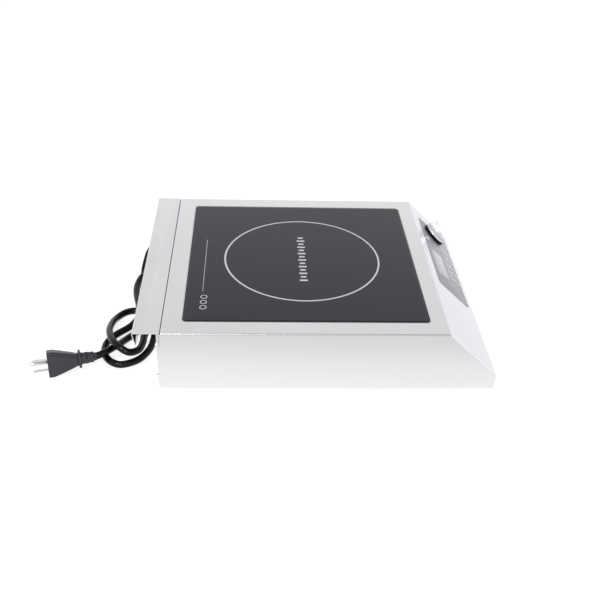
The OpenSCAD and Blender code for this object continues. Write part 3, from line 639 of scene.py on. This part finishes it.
def make_case():
    shell = prism("case_shell", case_outline(0), HALF_W)
    fold_edges(shell, case_fold(0), 5)
    inside = prism("inside", case_outline(SHEET), HALF_W - SHEET)
    fold_edges(inside, case_fold(SHEET), 3)
    seal = 1.2
    glass_hole = loft("hole", [rounded(GLASS_W + 2 * seal, GLASS_D + 2 * seal, GLASS_R + seal, z)
                               for z in (TOP_Z - 6, TOP_Z + 6)], Matrix.Translation((0, GLASS_Y, 0)))
    window = loft("hole", [rounded(49, 15, 1.5, z) for z in (-5, 5)], on_slope(WINDOW_X, WINDOW_S))
    bush = lathe("hole", [(3.6, -5), (3.6, 5)], on_slope(KNOB_X, KNOB_S), 40)
    leds = [lathe("hole", [(1.6, -5), (1.6, 5)], on_slope(x, LED_S), 24) for x in LED_XS]
    under = block("hole", -HALF_W + 15, HALF_W - 15, FRONT + 15, SEAM + 9, BASE_Z - 2, BASE_Z + 2)
    back = block("hole", -HALF_W + 11, HALF_W - 11, SEAM - 2.2, SEAM + 9, BASE_Z - 2, TOP_Z - 11)
    cut(shell, inside, glass_hole, window, bush, *leds, under, back)
    # The sides reach into the gap beside the cover strip
    for x in (-HALF_W, HALF_W - SHEET):
        combine(shell, "UNION", block("tab", x, x + SHEET, SEAM - 1.5, SEAM + 0.5, BASE_Z + 2, TOP_Z - 1.8))
    place(shell, "case_steel", replaced=["top_housing"], weighted=True, angle=40)


def folded_strip(name, path, thick, half):
    """Sheet folded along X: a mid-line in Y and Z with a bend radius at each corner, thickened both ways."""
    steps = 8
    line = []
    for i, (y, z, r) in enumerate(path):
        p = Vector((y, z))
        if r == 0 or i in (0, len(path) - 1):
            line.append(p)
            continue
        a = (Vector(path[i - 1][:2]) - p).normalized()
        b = (Vector(path[i + 1][:2]) - p).normalized()
        half_turn = a.angle(b) / 2
        run = r / math.tan(half_turn)
        centre = p + (a + b).normalized() * (r / math.sin(half_turn))
        start, end = p + a * run - centre, p + b * run - centre
        sweep = start.angle_signed(end)
        for k in range(steps + 1):
            turn = Matrix.Rotation(-sweep * k / steps, 2)
            line.append(centre + turn @ start)
    sides = ([], [])
    for i, p in enumerate(line):
        ahead = (line[min(i + 1, len(line) - 1)] - line[max(i - 1, 0)]).normalized()
        normal = Vector((-ahead.y, ahead.x)) * thick / 2
        sides[0].append(p + normal)
        sides[1].append(p - normal)
    outline = [tuple(q) for q in sides[0] + sides[1][::-1]]
    return prism(name, outline, half)


def make_cap():
    """Cover strip behind the seam: a flange down inside, the flat top, and a lip hemmed back on itself."""
    y0, z = SEAM + 1.1, TOP_Z - 0.5
    cap = folded_strip("rear_cover", [
        (y0, TOP_Z - 18, 0), (y0, z, 0.9), (REAR - 0.55, z, 1.0), (REAR - 3.75, TOP_Z - 16.1, 0.5),
        (REAR - 4.75, TOP_Z - 16.1, 0.5), (REAR - 6.1, TOP_Z - 2.6, 0)], 0.96, HALF_W)
    place(cap, "case_steel", replaced=["rear_cap"], weighted=True, angle=40)


make_case()
make_cap()


def make_glass():
    """Glass ceramic: ground edge, a narrow bright bevel set in from it, and the flat top."""
    low, top = GLASS_Z - 4.0, GLASS_Z
    steps = [(0.5, low), (0.0, low + 0.5), (0.0, top - 0.62), (0.12, top - 0.40), (2.1, top - 0.16),
             (2.35, top - 0.13), (3.15, top - 0.02), (3.4, top)]
    rings = [rounded(GLASS_W - 2 * i, GLASS_D - 2 * i, max(GLASS_R - i, 1.2), z, 10) for i, z in steps]
    glass = loft("glass_plate", rings, Matrix.Translation((0, GLASS_Y, 0)), bands={4: 1, 5: 1, 6: 1})
    place(glass, "black_glass", replaced=["glass_top"], materials=[MATERIALS["black_glass"], GLASS_RIM],
          weighted=True, angle=50)


def print_piece(name, shapes, matrix, slot, ink):
    """Thin raised marks: each shape is an outline, with an inner one where the mark is a ring."""
    sunk, proud = -0.02, 0.035
    bm = bmesh.new()
    for outer, inner in shapes:
        low, high = ([bm.verts.new((x, y, z)) for x, y in outer] for z in (sunk, proud))
        pairs = [(low, high)]
        if inner is None:
            bm.faces.new(high)
            bm.faces.new(low[::-1])
        else:
            low_in, high_in = ([bm.verts.new((x, y, z)) for x, y in inner] for z in (sunk, proud))
            pairs += [(high_in, low_in), (high, high_in), (low_in, low)]
        for a, b in pairs:
            for i in range(len(outer)):
                j = (i + 1) % len(outer)
                bm.faces.new((a[i], a[j], b[j], b[i]))
    place(from_bmesh(name, bm, matrix), slot, materials=[ink], angle=40)


def ring_shape(x, y, r, width, n):
    turn = [(math.cos(math.tau * i / n), math.sin(math.tau * i / n)) for i in range(n)]
    return ([(x + (r + width / 2) * c, y + (r + width / 2) * s) for c, s in turn],
            [(x + (r - width / 2) * c, y + (r - width / 2) * s) for c, s in turn])


def bar_shape(x, y, w, l, r=None):
    r = min(w, l) * 0.48 if r is None else r
    return ([(x + px, y + py) for px, py, _ in rounded(w, l, r, 0, 4)], None)


def make_prints():
    on_glass = Matrix.Translation((0, GLASS_Y, GLASS_Z))
    print_piece("pan_ring", [ring_shape(0, 0, RING_R, 2.2, 240)], on_glass, "black_glass", PRINT)
    # A plain centring scale in the middle of the pan ring, and plain dots by the rear edge
    scale = [bar_shape(-52 + 8 * k, 0, 3.4, 10 if k % 2 == 0 else 7.0, 0.6) for k in range(14)]
    print_piece("centre_scale", scale, on_glass, "black_glass", PRINT)
    dots = [ring_shape(-112 + 11 * k, 119.5, 3.6, 1.0, 32) for k in range(3)]
    dots += [bar_shape(-76 + 4.6 * k, 121.5, 2.6, 1.0) for k in range(27)]
    print_piece("edge_marks", dots, on_glass, "black_glass", PRINT)


make_glass()
make_prints()


# ---------------------------------------------------------------- controls

def make_controls():
    film = loft("control_film", arc_rings(OVERLAY_W, OVERLAY_L, 5, 0.0, 0.4, 0.15),
                on_slope(OVERLAY_MID, OVERLAY_S))
    window = loft("hole", [rounded(WINDOW_W, WINDOW_L, 1.5, z) for z in (-1, 3)],
                  on_slope(WINDOW_X, WINDOW_S))
    cut(film, window, lathe("hole", [(3.75, -1), (3.75, 3)], on_slope(KNOB_X, KNOB_S), 40))
    place(film, "overlay_film", replaced=["control_overlay"], angle=50)
    pane = loft("display_pane", arc_rings(WINDOW_W - 0.06, WINDOW_L - 0.06, 1.5, 0.0, 0.46, 0.2),
                on_slope(WINDOW_X, WINDOW_S))
    place(pane, "window_film", replaced=["display_window"], angle=50)
    base = on_slope(0, 0, 0.4)
    light = [bar_shape(x, LED_S, 3.4, 3.4) for x in LED_XS]
    light += [ring_shape(x, LED_S - 8.5, 3.4, 0.7, 32) for x in LED_XS]
    light += [bar_shape(x + dx, LED_S + 6.5, 5.2, 1.1) for x in LED_XS for dx in (-3.4, 3.4)]
    print_piece("panel_marks", light, base, "overlay_film", PANEL_INK)
    border = tuple([(x + OVERLAY_MID, y + OVERLAY_S)
                    for x, y, _ in rounded(OVERLAY_W - inset, OVERLAY_L - inset, r, 0)]
                   for inset, r in ((5, 3.6), (6.4, 3.0)))
    # Painted shade: a black ring printed on the film round the knob's foot darkens the band of shade under
    # the knob
    knob_foot_shade = [ring_shape(KNOB_X, KNOB_S, 14.0, 9.0, 96)]
    print_piece("knob_painted_shade", knob_foot_shade, base, "overlay_film", MATERIALS["knob_black"])
    dark = [border, bar_shape(-16, 52, 22, 3.0), bar_shape(-16, 45, 22, 1.2)]
    dark += [bar_shape(KNOB_X + 23 * math.cos(a), KNOB_S + 23 * math.sin(a), 1.8, 1.8)
             for a in (math.radians(t) for t in range(-45, 226, 30))]
    print_piece("panel_lines", dark, base, "overlay_film", PANEL_DARK)


def make_knob():
    at = on_slope(KNOB_X, KNOB_S, 1.4)
    r = KNOB_R
    skirt = lathe("knob_ring", [(10, 0), (r - 1.1, 0), (r - 0.35, 0.25), (r, 0.9), (r, 1.9),
                                (r - 0.3, 2.5), (r - 0.9, 2.8), (10, 2.8)], at, 128, closed=True)
    place(skirt, "knob_black", "knob", ["knob_skirt"], angle=50)
    h = KNOB_H - 1.0
    top = r - 1.3
    profile = [(10, 2.82), (r - 1.25, 2.82), (r - 1.0, 3.05), (r - 1.0, 4.1), (r - 1.3, 4.35), (r - 1.3, 4.6),
               (r - 1.05, 4.9), (top, h - 2.2), (top - 0.35, h - 1.0), (top - 1.1, h - 0.3), (top - 2.1, h),
               (top - 3.4, h), (top - 3.9, h - 0.35), (top - 4.6, h - 0.5), (3.2, h - 0.62), (0.05, h - 0.62)]
    profile += [(0.05, h - 3.2), (3.02, h - 3.2), (3.02, 6.2), (10, 6.0)]
    cap = lathe("knob_cover", profile, at, 128, closed=True)
    place(cap, "knob_chrome", "knob", ["knob_cap"], angle=45)


make_controls()
make_knob()


# ---------------------------------------------------------------- feet

def make_feet():
    profile = [(5, 0.02), (FOOT_R - 3.2, 0.0), (FOOT_R - 2.3, 0.3), (FOOT_R - 1.9, 1.2),
               (FOOT_R - 1.7, 3.0), (FOOT_R - 2.1, 3.4), (FOOT_R - 2.1, 4.2), (FOOT_R - 1.6, 4.6),
               (FOOT_R - 0.25, 19.6), (FOOT_R - 0.05, 20.4), (FOOT_R - 0.2, 21.0), (2.4, 21.0),
               (2.4, 9.0), (5, 9.0)]
    names = {(-1, 0): "foot_front_left", (1, 0): "foot_front_right",
             (-1, 1): "foot_rear_left", (1, 1): "foot_rear_right"}
    for (side, row), node in names.items():
        foot = lathe(node.replace("foot", "rubber_foot"), profile,
                     Matrix.Translation((side * FOOT_X, FOOT_YS[row], 0)), 72, closed=True)
        place(foot, "foot_rubber", replaced=[node], angle=50)


make_feet()


# ---------------------------------------------------------------- what stays from the CAD

SLOT_OF = {s["node"]: s["material_slot"] for s in frame["record"]["subparts"]}
for node_name, node in NODES.items():
    if node.hide_render:
        continue
    node.data.materials.clear()
    node.data.materials.append(MATERIALS[SLOT_OF[node_name]])
    smooth(node, 30)


# ---------------------------------------------------------------- studio

def make_floor():
    """Plain white table, lit from within so that shadows stay faint."""
    bm = bmesh.new()
    bmesh.ops.create_grid(bm, x_segments=2, y_segments=2, size=6000)
    obj = from_bmesh("floor", bm)
    s = Shader("floor").fixed(Roughness=0.6)
    speck = s.noise((3, 3, 3), 2, 0.5)
    s.colour(s.mix(speck, (0.26, 0.26, 0.26), (0.27, 0.27, 0.27)))
    s.fixed(Emission_Color=(1.0, 1.0, 1.0, 1.0), Emission_Strength=0.82)
    obj.data.materials.append(s.mat)


def make_world():
    """White room: bright round the horizon, dimmer overhead."""
    world = bpy.data.worlds.new("studio")
    bpy.context.scene.world = world
    world.use_nodes = True
    tree = world.node_tree
    back = tree.nodes["Background"]
    coords = tree.nodes.new("ShaderNodeTexCoord")
    split = tree.nodes.new("ShaderNodeSeparateXYZ")
    ramp = tree.nodes.new("ShaderNodeValToRGB")
    tree.links.new(coords.outputs["Generated"], split.inputs[0])
    tree.links.new(split.outputs["Z"], ramp.inputs["Fac"])
    tree.links.new(ramp.outputs["Color"], back.inputs["Color"])
    set_stops(ramp, [(0.0, (1.10, 1.09, 1.14)), (0.20, (1.10, 1.09, 1.14)), (0.45, (1.0, 1.0, 1.0)),
                     (0.60, (0.92, 0.92, 0.92)), (0.80, (0.45, 0.45, 0.45)), (1.0, (0.60, 0.60, 0.60))])
    back.inputs["Strength"].default_value = 1.0


def area_light(name, place_at, target, size, power):
    data = bpy.data.lights.new(name, "AREA")
    data.shape, data.size, data.energy = "DISK", size, power
    obj = bpy.data.objects.new(name, data)
    bpy.context.scene.collection.objects.link(obj)
    obj.location = place_at
    obj.rotation_euler = (Vector(target) - Vector(place_at)).to_track_quat("-Z", "Y").to_euler()


make_floor()
make_world()
area_light("key", (-0.9, 1.1, 1.6), (0, 0, 0.05), 0.38, 12)
area_light("fill", (-0.75, -1.7, 0.65), (-0.1, -0.1, 0.05), 0.6, 3.5)
area_light("front", (-1.3, 0.45, 1.25), (0, 0.05, 0.05), 0.45, 8)
bpy.context.scene.view_settings.view_transform = "Standard"
